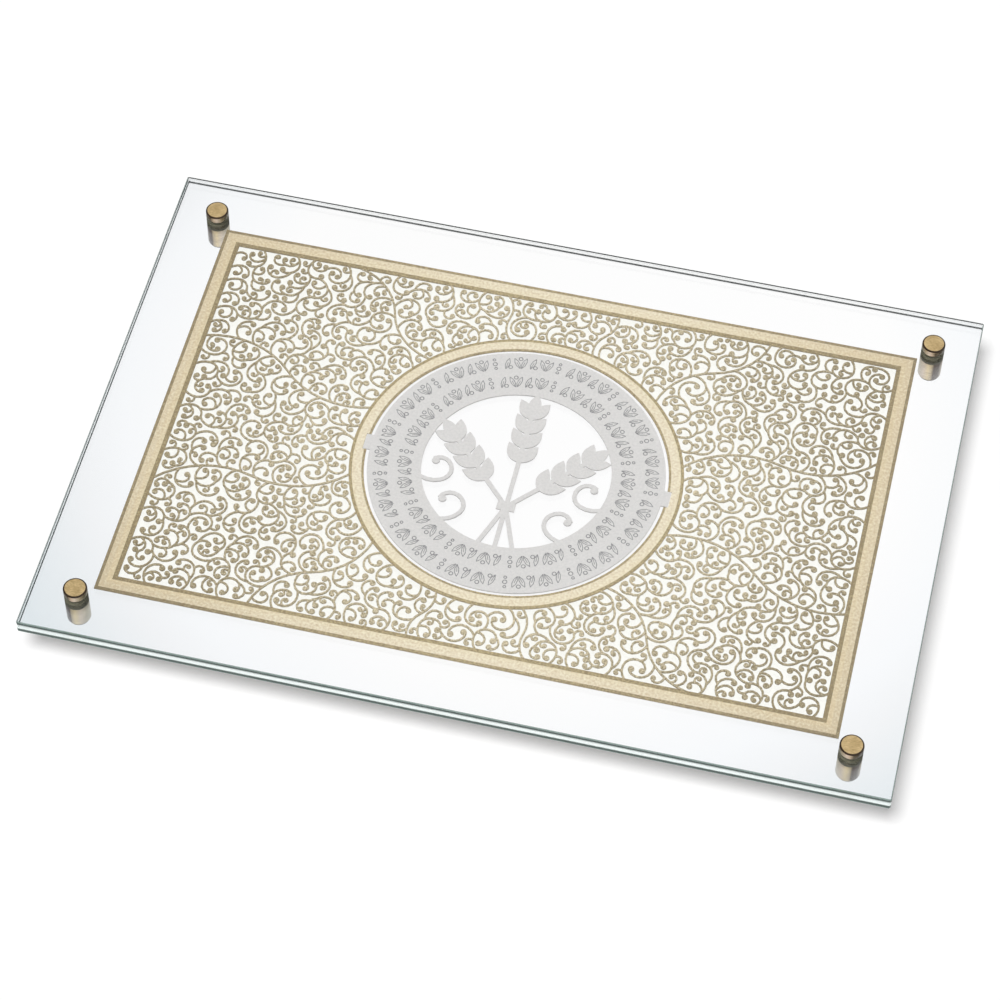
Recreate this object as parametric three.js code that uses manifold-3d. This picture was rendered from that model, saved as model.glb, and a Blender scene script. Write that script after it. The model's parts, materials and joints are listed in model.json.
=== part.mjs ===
// Challah tray: two glass plates on four stand-off studs, with a laser-cut gold scrollwork panel and a
// silver medallion lying between the plates. Millimetres, +Z up, +X along the long side. The origin is
// on the table, under the middle of the tray.

import * as THREE from "three";
import { mergeVertices } from "three/addons/utils/BufferGeometryUtils.js";
import Module from "manifold-3d";

const wasm = await Module();
wasm.setup();

// Glass plates
const glassLength = 370;
const glassWidth = 255;
const glassThickness = 3;
const glassCornerCut = 0.6;
const glassEdgeChamfer = 0.5;

// Gold scrollwork panel
const panelLength = 318;
const panelWidth = 204;
const sheetThickness = 0.75;
const panelBorder = 6.5;
const ringOuterRadius = 71.75;
const ringWidth = 5.25;

// Silver medallion
const medallionGap = 1.25;
const medallionBand = 24;
const tabHalfWidth = 4;
const tabSeat = 1;
const tabClearance = 0.25;

// Stand-off studs
const studInset = 20;
const studDiameter = 10.25;
const capHeight = 3.5;
const capWasherThickness = 0.5;
const legWasherThickness = 1;
const legHeight = 11;
const footHeight = 1;
const footInset = 0.5;
const studChamfer = 0.5;
const shankDiameter = 5;
const shankEngagement = 6;
const shankClearance = 0.3;
const sleeveWall = 1.5;
const sleeveClearance = 0.3;
const boreSpareDepth = 1;

// Scrollwork
const strokeWidth = 1.15;
const strokeGap = 0.5;
const scrollRadius = 8.4;
const budRadius = 1.6;
const rootPitch = 15;
const rootDepth = 0.8;
const rootLean = THREE.MathUtils.degToRad(40);
const branchLean = THREE.MathUtils.degToRad(36);
const borderLead = 3;
const branchLead = 3.6;
const scrollSweeps = [48, 112, 82].map(THREE.MathUtils.degToRad);
const scrollRatios = [1.6, 1, 0.78];
const searchStep = 1;
const drawnSag = 0.45;
const drawnSagShare = 0.5;
const budSteps = 5;
const stemCount = 3;
const stemSwing = THREE.MathUtils.degToRad(32);

// Wheat motif in the medallion
const grainLength = 12;
const grainWidth = 5.8;
const grainBulge = 0.45;
const grainSpacing = 8;
const grainLean = THREE.MathUtils.degToRad(33);
const grainPairs = 4;
const stemWidth = 2;
const earCount = 3;
const earFan = THREE.MathUtils.degToRad(43);
const sheafHeight = -20;
const tieLength = 8;
const tieWidth = 4;
const strawCount = 3;
const strawFan = THREE.MathUtils.degToRad(20);
const tendrilRadius = 6.4;
const tendrilAngles = [38, 72].map(THREE.MathUtils.degToRad);
const ringOverlap = 1;

// How finely round shapes are drawn
const roundSides = 16;
const washerSides = 12;
const holeSegments = 6;
const ringSegments = 24;
const grainSegments = 3;
const mergeDistance = 1e-4;
const cutSpare = 1;

// Heights that follow from the stack
const legBottom = footHeight;
const legTop = legBottom + legHeight;
const lowerGlassBottom = legTop + legWasherThickness;
const sheetBottom = lowerGlassBottom + glassThickness;
const upperGlassBottom = sheetBottom + sheetThickness;
const glassTop = upperGlassBottom + glassThickness;
const capBottom = glassTop + capWasherThickness;

// Radii that follow from the fits
const studRadius = studDiameter / 2;
const shankRadius = shankDiameter / 2;
const boreRadius = shankRadius + shankClearance;
const sleeveRadius = boreRadius + sleeveWall;
const holeRadius = sleeveRadius + sleeveClearance;

const ringInnerRadius = ringOuterRadius - ringWidth;
const medallionRadius = ringInnerRadius - medallionGap;
const medallionHoleRadius = medallionRadius - medallionBand;
const tabEnd = ringInnerRadius + tabSeat;

const studX = glassLength / 2 - studInset;
const studY = glassWidth / 2 - studInset;

// Half sizes of the window inside the border
const windowX = panelLength / 2 - panelBorder;
const windowY = panelWidth / 2 - panelBorder;

const finishes = {
  glass: new THREE.MeshStandardMaterial({
    color: 0xe6f2f0, roughness: 0.05, metalness: 0, transparent: true, opacity: 0.35,
  }),
  gold: new THREE.MeshStandardMaterial({ color: 0xb09a6a, roughness: 0.4, metalness: 0.7 }),
  silver: new THREE.MeshStandardMaterial({ color: 0xd8d6d5, roughness: 0.4, metalness: 0.7 }),
  brass: new THREE.MeshStandardMaterial({ color: 0xa8874e, roughness: 0.35, metalness: 0.9 }),
  rubber: new THREE.MeshStandardMaterial({ color: 0x2e2a26, roughness: 0.8, metalness: 0 }),
};

// Turns a closed geometry into a solid that can be joined and cut.
function solid(geometry) {
  const bare = geometry.clone();
  bare.deleteAttribute("normal");
  bare.deleteAttribute("uv");
  const merged = mergeVertices(bare, mergeDistance);
  const mesh = new wasm.Mesh({
    numProp: 3,
    vertProperties: new Float32Array(merged.attributes.position.array),
    triVerts: new Uint32Array(merged.index.array),
  });
  return new wasm.Manifold(mesh);
}

// Turns a solid back into a geometry.
function geometryOf(body) {
  const mesh = body.getMesh();
  const geometry = new THREE.BufferGeometry();
  geometry.setAttribute("position", new THREE.BufferAttribute(mesh.vertProperties, 3));
  geometry.setIndex(new THREE.BufferAttribute(mesh.triVerts, 1));
  const flat = geometry.toNonIndexed();
  flat.computeVertexNormals();
  return flat;
}

// Joins a list of solids two by two, so that no join has to carry the whole list.
function joinAll(bodies) {
  let row = bodies;
  while (row.length > 1) {
    const next = [];
    for (let i = 0; i < row.length; i += 2) {
      next.push(i + 1 < row.length ? row[i].add(row[i + 1]) : row[i]);
    }
    row = next;
  }
  return row[0];
}

function sheet(shape, curveSegments) {
  return new THREE.ExtrudeGeometry(shape, { depth: sheetThickness, bevelEnabled: false, curveSegments });
}

function rectangle(halfX, halfY) {
  const corners = [[-halfX, -halfY], [halfX, -halfY], [halfX, halfY], [-halfX, halfY]];
  return new THREE.Shape(corners.map(([x, y]) => new THREE.Vector2(x, y)));
}

function circle(x, y, radius) {
  return new THREE.Path().absarc(x, y, radius, 0, 2 * Math.PI, false);
}

function ringShape(outer, inner) {
  const shape = new THREE.Shape().absarc(0, 0, outer, 0, 2 * Math.PI, false);
  shape.holes.push(circle(0, 0, inner));
  return shape;
}

// Glass plate with dubbed corners, ground edges and the four stud holes.
function glassPlate() {
  const x = glassLength / 2;
  const y = glassWidth / 2;
  const c = glassCornerCut;
  const outline = [
    [x - c, -y], [x, -y + c], [x, y - c], [x - c, y], [-x + c, y], [-x, y - c], [-x, -y + c], [-x + c, -y],
  ];
  const plate = new THREE.Shape(outline.map(([px, py]) => new THREE.Vector2(px, py)));
  for (const sx of [-1, 1]) {
    for (const sy of [-1, 1]) {
      plate.holes.push(circle(sx * studX, sy * studY, holeRadius));
    }
  }
  const geometry = new THREE.ExtrudeGeometry(plate, {
    depth: glassThickness - 2 * glassEdgeChamfer,
    bevelThickness: glassEdgeChamfer,
    bevelSize: glassEdgeChamfer,
    bevelOffset: -glassEdgeChamfer,
    bevelSegments: 1,
    curveSegments: holeSegments,
  });
  return geometry.translate(0, 0, glassEdgeChamfer);
}

// A stroke of scrollwork is a row of arcs, each tangent to the last. This walks it in even steps along
// each arc. Every point keeps its heading and its distance from the root.
function walk(stroke, stepTurn) {
  const points = [{ ...stroke.root, run: 0 }];
  let { x, y, heading } = stroke.root;
  let run = 0;
  for (const { radius, sweep, hand } of stroke.arcs) {
    const steps = Math.max(1, Math.ceil(sweep / stepTurn(radius)));
    const turn = sweep / steps;
    const chord = 2 * radius * Math.sin(turn / 2);
    for (let i = 0; i < steps; i++) {
      x += chord * Math.cos(heading + hand * turn / 2);
      y += chord * Math.sin(heading + hand * turn / 2);
      heading += hand * turn;
      run += radius * turn;
      points.push({ x, y, heading, run });
    }
  }
  return points;
}

// Fine steps for measuring the room around a stroke, and coarse ones for drawing it, whose flats lie
// within the drawn sag of the true arc.
const searchTurn = (radius) => searchStep / radius;
const drawnTurn = (radius) => 2 * Math.acos(1 - Math.min(drawnSagShare, drawnSag / radius));

// A scroll is three arcs of falling radius that end in a round bud on their inner side.
function scrollStroke(root, hand, radius, width, fromBorder) {
  const arcs = scrollSweeps.map((sweep, k) => ({ radius: radius * scrollRatios[k], sweep, hand }));
  const stroke = { root, arcs, width, fromBorder };
  const points = walk(stroke, searchTurn);
  const tip = points[points.length - 1];
  const inward = tip.heading + hand * Math.PI / 2;
  const offset = budRadius - width / 2;
  stroke.bud = { x: tip.x + offset * Math.cos(inward), y: tip.y + offset * Math.sin(inward), reach: budRadius };
  stroke.points = points;
  return stroke;
}

// A stem runs out from the ring to the border as an even S of two arcs, and ties the two together.
function stemStroke(angle) {
  const start = ringOuterRadius - rootDepth;
  const length = rayToWindow(angle) + rootDepth - start;
  const radius = length / (4 * Math.sin(stemSwing));
  const stroke = {
    root: { x: start * Math.cos(angle), y: start * Math.sin(angle), heading: angle + stemSwing },
    arcs: [{ radius, sweep: 2 * stemSwing, hand: -1 }, { radius, sweep: 2 * stemSwing, hand: 1 }],
    width: strokeWidth,
  };
  stroke.points = walk(stroke, searchTurn);
  return stroke;
}

// Distance from the middle of the tray to the window's edge, along a direction in the first quarter.
function rayToWindow(angle) {
  return Math.min(windowX / Math.cos(angle), windowY / Math.sin(angle));
}

// The metal already placed in the quarter window, sorted into square cells so that only near points
// are measured.
class Field {
  constructor() {
    this.cells = new Map();
    this.strokes = [];
    this.cellSize = 2 * budRadius + strokeGap;
  }

  cell(x, y) {
    return `${Math.floor(x / this.cellSize)},${Math.floor(y / this.cellSize)}`;
  }

  put(x, y, reach, owner) {
    const key = this.cell(x, y);
    if (!this.cells.has(key)) this.cells.set(key, []);
    this.cells.get(key).push({ x, y, reach, owner });
  }

  place(stroke) {
    const owner = this.strokes.length;
    this.strokes.push(stroke);
    for (const p of stroke.points) this.put(p.x, p.y, stroke.width / 2, owner);
    if (stroke.bud) this.put(stroke.bud.x, stroke.bud.y, stroke.bud.reach, owner);
  }

  // True where a round spot keeps the gap to the border, the ring, its own mirror image and the metal
  // that is already there. The stroke that it branches from can be left out.
  clear(x, y, reach, parent) {
    const need = reach + strokeGap;
    if (x + need > windowX || y + need > windowY) return false;
    if (x < reach + strokeGap / 2 || y < reach + strokeGap / 2) return false;
    if (Math.hypot(x, y) - need < ringOuterRadius) return false;
    for (const dx of [-1, 0, 1]) {
      for (const dy of [-1, 0, 1]) {
        const near = this.cells.get(this.cell(x + dx * this.cellSize, y + dy * this.cellSize)) ?? [];
        for (const spot of near) {
          if (spot.owner === parent) continue;
          if (Math.hypot(spot.x - x, spot.y - y) < need + spot.reach) return false;
        }
      }
    }
    return true;
  }
}

// Places a scroll at a root unless it would run into other metal. Within its lead a scroll may lie
// close to the stroke or border that it springs from.
function tryScroll(field, root, hand, lead, parent) {
  const stroke = scrollStroke(root, hand, scrollRadius, strokeWidth, parent === undefined);
  const half = strokeWidth / 2;
  if (!field.clear(stroke.bud.x, stroke.bud.y, stroke.bud.reach)) return false;
  for (const p of stroke.points) {
    if (p.run > lead) {
      if (!field.clear(p.x, p.y, half)) return false;
    } else if (parent !== undefined && p.run > half) {
      if (!field.clear(p.x, p.y, half, parent)) return false;
    }
  }
  field.place(stroke);
  return true;
}

// Places along the border and the ring from which scrolls spring.
function borderRoots() {
  const roots = [];
  const topCount = Math.max(1, Math.round(windowX / rootPitch));
  const sideCount = Math.max(1, Math.round(windowY / rootPitch));
  const ringCount = Math.max(1, Math.round(ringOuterRadius * Math.PI / 2 / rootPitch));
  for (let i = 0; i < topCount; i++) {
    roots.push({ x: (i + 0.5) / topCount * windowX, y: windowY, heading: -Math.PI / 2 });
  }
  for (let i = 0; i < sideCount; i++) {
    roots.push({ x: windowX, y: (i + 0.5) / sideCount * windowY, heading: Math.PI });
  }
  for (let i = 0; i < ringCount; i++) {
    const a = (i + 0.5) / ringCount * Math.PI / 2;
    roots.push({ x: ringOuterRadius * Math.cos(a), y: ringOuterRadius * Math.sin(a), heading: a });
  }
  return roots;
}

// Fills one quarter of the window: first the stems, then scrolls from the border and the ring, and then
// scrolls from every stroke in turn, on both sides and with both hands, wherever there is room.
function growQuarter() {
  const field = new Field();
  for (let i = 0; i < stemCount; i++) {
    field.place(stemStroke((i + 0.5) / stemCount * Math.PI / 2));
  }
  borderRoots().forEach((root, k) => {
    for (const hand of k % 2 ? [1, -1] : [-1, 1]) {
      const leaning = { ...root, heading: root.heading - hand * rootLean };
      tryScroll(field, leaning, hand, borderLead);
    }
  });
  for (let parent = 0; parent < field.strokes.length; parent++) {
    for (const p of branchPoints(field.strokes[parent].points)) {
      growBranch(field, p, parent);
    }
  }
  return field.strokes;
}

// Every second point of a stroke, in a scattered order, so that branches don't crowd at its root.
function branchPoints(points) {
  const picked = [];
  for (let k = 2; k < points.length - 2; k += 2) picked.push(k);
  const goldenShare = (Math.sqrt(5) - 1) / 2;
  const scatter = (k) => (k * goldenShare) % 1;
  return picked.sort((a, b) => scatter(a) - scatter(b)).map((k) => points[k]);
}

function growBranch(field, p, parent) {
  for (const side of [1, -1]) {
    for (const hand of [side, -side]) {
      const root = { x: p.x, y: p.y, heading: p.heading + side * branchLean };
      if (tryScroll(field, root, hand, branchLead, parent)) return;
    }
  }
}

// A flat ribbon along a row of points.
function ribbonShape(points, width) {
  const left = points.map((p) => offsetPoint(p, width / 2));
  const right = points.map((p) => offsetPoint(p, -width / 2));
  return new THREE.Shape([...left, ...right.reverse()]);
}

// A point at a distance to the left of a point on a stroke.
function offsetPoint(p, distance) {
  return new THREE.Vector2(
    p.x - distance * Math.sin(p.heading),
    p.y + distance * Math.cos(p.heading),
  );
}

// A scroll's outline runs up its outer side to the tip, round the bud, and back down its inner side
// from where that side leaves the bud.
function scrollShape(points, hand, width, bud) {
  const outer = points.map((p) => offsetPoint(p, -hand * width / 2));
  const inner = points.slice(0, -1).map((p) => offsetPoint(p, hand * width / 2));
  const tip = outer[outer.length - 1];
  const meeting = Math.acos((bud.reach - width) / bud.reach);
  const start = Math.atan2(tip.y - bud.y, tip.x - bud.x);
  const round = [];
  for (let i = 1; i <= budSteps; i++) {
    const a = start + hand * (2 * Math.PI - meeting) * i / budSteps;
    round.push(new THREE.Vector2(bud.x + bud.reach * Math.cos(a), bud.y + bud.reach * Math.sin(a)));
  }
  return new THREE.Shape([...outer, ...round, ...inner.reverse()]);
}

// One stroke as a solid. A stroke from a border begins a little inside the border's metal.
function strokeSolid(stroke) {
  const { root, width, bud, fromBorder } = stroke;
  const drawn = walk(stroke, drawnTurn);
  const sunk = {
    x: root.x - rootDepth * Math.cos(root.heading),
    y: root.y - rootDepth * Math.sin(root.heading),
    heading: root.heading,
  };
  const points = fromBorder ? [sunk, ...drawn] : drawn;
  return solid(sheet(bud ? scrollShape(points, stroke.arcs[0].hand, width, bud) : ribbonShape(points, width)));
}

// The same solid on the other side of the X or Y axis, with its faces turned the right way again.
function mirrored(body, signX, signY) {
  const mesh = body.getMesh();
  const positions = mesh.vertProperties.map((v, i) => (i % 3 === 0 ? signX * v : i % 3 === 1 ? signY * v : v));
  const triangles = new Uint32Array(mesh.triVerts);
  if (signX * signY < 0) {
    for (let i = 0; i < triangles.length; i += 3) {
      [triangles[i], triangles[i + 1]] = [triangles[i + 1], triangles[i]];
    }
  }
  return new wasm.Manifold(new wasm.Mesh({ numProp: 3, vertProperties: positions, triVerts: triangles }));
}

// Gold panel: border, ring with two notches for the medallion's tabs, and the scrollwork in between.
function scrollPanel() {
  const border = rectangle(panelLength / 2, panelWidth / 2);
  border.holes.push(rectangle(windowX, windowY));
  const ring = solid(sheet(ringShape(ringOuterRadius, ringInnerRadius), ringSegments));
  const notch = solid(new THREE.BoxGeometry(
    2 * (tabEnd + tabClearance),
    2 * (tabHalfWidth + tabClearance),
    2 * (sheetThickness + cutSpare),
  ));
  const quarter = joinAll(growQuarter().map(strokeSolid));
  const scrolls = [quarter, mirrored(quarter, -1, 1), mirrored(quarter, 1, -1), mirrored(quarter, -1, -1)];
  const panel = joinAll([...scrolls, solid(sheet(border)), ring.subtract(notch)]);
  return geometryOf(panel);
}

// A pointed grain that lies along a direction from its foot.
function grainShape(x, y, direction) {
  const place = (along, across) => new THREE.Vector2(
    x + along * Math.cos(direction) - across * Math.sin(direction),
    y + along * Math.sin(direction) + across * Math.cos(direction),
  );
  const foot = place(0, 0);
  const tip = place(grainLength, 0);
  const leftBulge = place(grainLength * grainBulge, grainWidth);
  const rightBulge = place(grainLength * grainBulge, -grainWidth);
  const shape = new THREE.Shape();
  shape.moveTo(foot.x, foot.y);
  shape.quadraticCurveTo(leftBulge.x, leftBulge.y, tip.x, tip.y);
  shape.quadraticCurveTo(rightBulge.x, rightBulge.y, foot.x, foot.y);
  return shape;
}

// The directions of a fan of ears or straws about a middle one.
function fan(middle, count, spread) {
  return Array.from({ length: count }, (_, k) => middle + (k - (count - 1) / 2) * spread);
}

// A straight ribbon from the sheaf's tie, and the point where it ends.
function strawTo(direction, length) {
  const foot = { x: 0, y: sheafHeight, heading: direction };
  const end = {
    x: length * Math.cos(direction),
    y: sheafHeight + length * Math.sin(direction),
    heading: direction,
  };
  return ribbonShape([foot, end], stemWidth);
}

// Distance from the tie to the edge of the medallion's opening, and a little into its ring.
function tieToRing(direction) {
  const along = sheafHeight * Math.sin(direction);
  const across = sheafHeight * Math.cos(direction);
  return Math.sqrt(medallionHoleRadius ** 2 - across ** 2) - along + ringOverlap;
}

// An ear of wheat: a straw from the tie, pairs of grains that lean outwards, and one grain at the end,
// which runs into the medallion's ring.
function earShapes(direction) {
  const strawLength = tieToRing(direction) - grainLength;
  const grainAt = (along, lean) => grainShape(
    along * Math.cos(direction),
    sheafHeight + along * Math.sin(direction),
    direction + lean,
  );
  const shapes = [strawTo(direction, strawLength), grainAt(strawLength, 0)];
  for (let i = 1; i <= grainPairs; i++) {
    for (const side of [-1, 1]) {
      shapes.push(grainAt(strawLength + grainLength / 2 - i * grainSpacing, side * grainLean));
    }
  }
  return shapes;
}

// Tendrils on each side spring from the ring and curl back under the outer ears.
function tendrilSolids() {
  const pieces = [];
  for (const side of [-1, 1]) {
    for (const angle of tendrilAngles) {
      const a = -Math.PI / 2 + side * angle;
      const root = {
        x: medallionHoleRadius * Math.cos(a),
        y: medallionHoleRadius * Math.sin(a),
        heading: a + Math.PI + side * rootLean,
      };
      pieces.push(strokeSolid(scrollStroke(root, -side, tendrilRadius, stemWidth, true)));
    }
  }
  return pieces;
}

// Silver medallion: a broad ring with two tabs that key into the gold ring, and a sheaf of wheat cut
// out of its middle.
function medallion() {
  const ring = solid(sheet(ringShape(medallionRadius, medallionHoleRadius), ringSegments));
  const tabLength = tabEnd - (medallionHoleRadius + medallionRadius) / 2;
  const tabs = [-1, 1].map((side) => {
    const tab = new THREE.BoxGeometry(tabLength, 2 * tabHalfWidth, sheetThickness);
    tab.translate(side * (tabEnd - tabLength / 2), 0, sheetThickness / 2);
    return solid(tab);
  });
  const ears = fan(Math.PI / 2, earCount, earFan).flatMap(earShapes);
  const straws = fan(-Math.PI / 2, strawCount, strawFan).map((a) => strawTo(a, tieToRing(a)));
  const sheaf = [...ears, ...straws].map((shape) => solid(sheet(shape, grainSegments)));
  const tie = new THREE.BoxGeometry(tieLength, tieWidth, sheetThickness);
  tie.translate(0, sheafHeight, sheetThickness / 2);
  return geometryOf(joinAll([ring, ...tabs, ...sheaf, ...tendrilSolids(), solid(tie)]));
}

function lathe(profile, sides) {
  const points = profile.map(([r, z]) => new THREE.Vector2(r, z));
  const geometry = new THREE.LatheGeometry(points, sides);
  return geometry.rotateX(Math.PI / 2);
}

// Cap: a flat head with a chamfered rim, and the threaded shank under it as a plain round.
function studCap() {
  const shankEnd = legTop - shankEngagement - capBottom;
  return lathe([
    [0, shankEnd],
    [shankRadius - studChamfer, shankEnd],
    [shankRadius, shankEnd + studChamfer],
    [shankRadius, 0],
    [studRadius, 0],
    [studRadius, capHeight - studChamfer],
    [studRadius - studChamfer, capHeight],
    [0, capHeight],
  ], roundSides);
}

// Leg: a solid barrel with a blind bore that takes the shank.
function studLeg() {
  const boreBottom = legHeight - shankEngagement - boreSpareDepth;
  return lathe([
    [0, 0],
    [studRadius - studChamfer, 0],
    [studRadius, studChamfer],
    [studRadius, legHeight - studChamfer],
    [studRadius - studChamfer, legHeight],
    [boreRadius, legHeight],
    [boreRadius, boreBottom],
    [0, boreBottom],
  ], roundSides);
}

function footPad() {
  const radius = studRadius - footInset;
  return lathe([[0, 0], [radius, 0], [radius, footHeight], [0, footHeight]], washerSides);
}

function washer(outer, inner, thickness) {
  return lathe([
    [inner, 0],
    [outer, 0],
    [outer, thickness],
    [inner, thickness],
    [inner, 0],
  ], washerSides);
}

function named(name, geometry, finish, z) {
  const mesh = new THREE.Mesh(geometry, finishes[finish]);
  mesh.name = name;
  mesh.position.z = z;
  return mesh;
}

// One stud, from the floor up.
function stud(place) {
  const group = new THREE.Group();
  const sleeveHeight = glassTop - lowerGlassBottom;
  group.add(
    named(`foot_pad_${place}`, footPad(), "rubber", 0),
    named(`leg_${place}`, studLeg(), "brass", legBottom),
    named(`leg_washer_${place}`, washer(studRadius, boreRadius, legWasherThickness), "rubber", legTop),
    named(`sleeve_${place}`, washer(sleeveRadius, boreRadius, sleeveHeight), "rubber", lowerGlassBottom),
    named(`plate_spacer_${place}`, washer(studRadius, holeRadius, sheetThickness), "rubber", sheetBottom),
    named(`cap_washer_${place}`, washer(studRadius, boreRadius, capWasherThickness), "rubber", glassTop),
    named(`cap_${place}`, studCap(), "brass", capBottom),
  );
  return group;
}

const tray = new THREE.Group();
tray.add(
  named("lower_glass_plate", glassPlate(), "glass", lowerGlassBottom),
  named("scroll_panel", scrollPanel(), "gold", sheetBottom),
  named("medallion", medallion(), "silver", sheetBottom),
  named("upper_glass_plate", glassPlate(), "glass", upperGlassBottom),
);

const corners = {
  front_left: [-studX, -studY],
  front_right: [studX, -studY],
  back_left: [-studX, studY],
  back_right: [studX, studY],
};
for (const [place, [x, y]] of Object.entries(corners)) {
  const group = stud(place);
  group.position.set(x, y, 0);
  tray.add(group);
}

export default tray;
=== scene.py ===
# %% [markdown]
# # A glass challah tray with a scrollwork panel
# The real tray is two plates of clear glass on four stand-off studs. A thin sheet of gold-coloured
# metal, cut into scrollwork, lies between the plates, with a silver-coloured medallion in its middle.
# The frame brings every piece at its real size. This lesson gives each one its look: it keeps the frame's
# pieces where their shape is right, and models a finer piece where the real one has more detail.

# %% Load the frame
import cmath
import json
import math

import bmesh
import bpy
import numpy as np
from mathutils import Matrix, Vector

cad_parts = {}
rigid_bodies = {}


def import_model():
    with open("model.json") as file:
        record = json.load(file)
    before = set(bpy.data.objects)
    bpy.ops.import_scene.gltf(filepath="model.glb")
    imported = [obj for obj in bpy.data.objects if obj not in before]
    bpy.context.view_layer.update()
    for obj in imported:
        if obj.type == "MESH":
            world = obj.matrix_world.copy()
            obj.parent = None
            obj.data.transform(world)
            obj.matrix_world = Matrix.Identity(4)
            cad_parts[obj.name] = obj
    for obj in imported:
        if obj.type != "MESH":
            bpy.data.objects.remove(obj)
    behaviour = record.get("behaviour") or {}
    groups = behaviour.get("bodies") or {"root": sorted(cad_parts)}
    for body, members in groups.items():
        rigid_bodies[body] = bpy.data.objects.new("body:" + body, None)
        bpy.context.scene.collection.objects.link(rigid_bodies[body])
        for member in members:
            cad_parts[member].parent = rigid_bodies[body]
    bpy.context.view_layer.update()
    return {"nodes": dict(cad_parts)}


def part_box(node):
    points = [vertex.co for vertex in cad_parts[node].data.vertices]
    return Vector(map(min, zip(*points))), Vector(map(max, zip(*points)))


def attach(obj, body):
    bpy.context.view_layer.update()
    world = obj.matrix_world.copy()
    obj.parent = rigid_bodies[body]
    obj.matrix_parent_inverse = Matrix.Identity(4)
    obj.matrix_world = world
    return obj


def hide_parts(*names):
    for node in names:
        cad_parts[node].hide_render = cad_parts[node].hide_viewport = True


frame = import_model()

mm = 0.001

# %% [markdown]
# ## Camera
# The photograph was taken from above and a little to the right, with a long lens. Four numbers place a
# camera like that: the way it is turned, how far it looks down, how it is tilted, and where it stands.
# A lens in millimetres follows from the width of the sensor and the lens's length in pixels.

# %% Camera
photo_pixels = 1000
lens_pixels = 3370.6
camera_turn = math.radians(12.5317)
camera_down = math.radians(53.9029)
camera_tilt = math.radians(0.8655)
camera_place = Vector((181.89, -849.98, 1187.90)) * mm

camera_data = bpy.data.cameras.new("camera")
camera_data.lens = lens_pixels / photo_pixels * camera_data.sensor_width
camera = bpy.data.objects.new("camera", camera_data)
camera.matrix_world = (
    Matrix.Translation(camera_place)
    @ Matrix.Rotation(camera_turn, 4, "Z")
    @ Matrix.Rotation(math.pi / 2 - camera_down, 4, "X")
    @ Matrix.Rotation(camera_tilt, 4, "Z")
)
bpy.context.collection.objects.link(camera)
bpy.context.scene.camera = camera
print("lens", round(camera_data.lens, 1), "mm")

# %% [markdown]
# ## Shader maths
# A finish is a tree of nodes. Wiring it by hand hides the sum that it works out, so a small class wraps
# a socket and lets a sum be written as a sum. Each operator adds one Math node.

# %% A socket that can be used in a sum
class Wire:
    """An output socket of a finish's tree."""

    def __init__(self, finish, socket):
        self.finish = finish
        self.socket = socket

    def maths(self, operation, *values):
        return self.finish.node("Math", {"operation": operation}, dict(enumerate(values)))

    def __add__(self, other):
        return self.maths("ADD", self, other)

    def __sub__(self, other):
        return self.maths("SUBTRACT", self, other)

    def __rsub__(self, other):
        return self.maths("SUBTRACT", other, self)

    def __mul__(self, other):
        return self.maths("MULTIPLY", self, other)

    def size(self):
        return self.maths("ABSOLUTE", self)

    def __gt__(self, other):
        return self.maths("GREATER_THAN", self, other)


# %% A finish and its tree
class Finish:
    """A material whose nodes are added by type, settings and socket values."""

    def __init__(self, name, tree=None):
        if tree is None:
            self.material = bpy.data.materials.new(name)
            self.material.use_nodes = True
            tree = self.material.node_tree
        self.tree = tree
        self.tree.nodes.clear()

    def node(self, kind, settings=None, values=None, output=0):
        made = self.tree.nodes.new("ShaderNode" + kind)
        for name, setting in (settings or {}).items():
            if name == "stops":
                self.set_stops(made.color_ramp, setting)
            else:
                setattr(made, name, setting)
        for name, value in (values or {}).items():
            if isinstance(value, Wire):
                self.tree.links.new(value.socket, made.inputs[name])
            else:
                made.inputs[name].default_value = value
        return Wire(self, made.outputs[output]) if made.outputs else made

    def set_stops(self, ramp, stops):
        for k in (0, -1):
            ramp.elements[k].position, ramp.elements[k].color = stops[k]
        for place, colour in stops[1:-1]:
            ramp.elements.new(place).color = colour

    def place(self):
        return self.node("TexCoord", output="Object")

    def axes(self, place):
        split = self.node("SeparateXYZ", values={0: place})
        return [Wire(self, output) for output in split.socket.node.outputs]

    def normal(self):
        return self.axes(self.node("NewGeometry", output="Normal"))

    def distance(self, place, point):
        return self.node("VectorMath", {"operation": "DISTANCE"}, {0: place, 1: point}, output="Value")

    def ramp(self, share, stops):
        """A colour that goes over a share through stops, whose colours are as a screen gives them."""
        stops = [(place, colour(*screen)) for place, screen in stops]
        return self.node("ValToRGB", {"stops": stops}, {0: share})

    def noise(self, place, scale, detail=2.0):
        return self.node("TexNoise", values={"Vector": place, "Scale": scale, "Detail": detail})

    def blend(self, share, first, second, blend_type="MIX"):
        """A colour between two, by a share from 0 to 1."""
        settings = {"data_type": "RGBA", "blend_type": blend_type}
        return self.node("Mix", settings, {0: share, 6: first, 7: second}, output=2)

    def bump(self, height, distance):
        return self.node("Bump", values={"Height": height, "Distance": distance, "Strength": 1.0})

    def surface(self, values):
        return self.node("BsdfPrincipled", values=values)

    def mix(self, share, first, second):
        """A shader between two, by a share from 0 to 1."""
        return self.node("MixShader", values={0: share, 1: first, 2: second})

    def is_ray(self, kind):
        return self.node("LightPath", output=f"Is {kind} Ray")

    def show(self, shader):
        self.node("OutputMaterial", values={"Surface": shader})
        return self.material


def colour(red, green, blue):
    """A colour as a screen gives it, from 0 to 255, as the light that the shader wants."""
    parts = [value / 255 for value in (red, green, blue)]
    linear = [p / 12.92 if p <= 0.04045 else ((p + 0.055) / 1.055) ** 2.4 for p in parts]
    return (*linear, 1.0)


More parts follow.
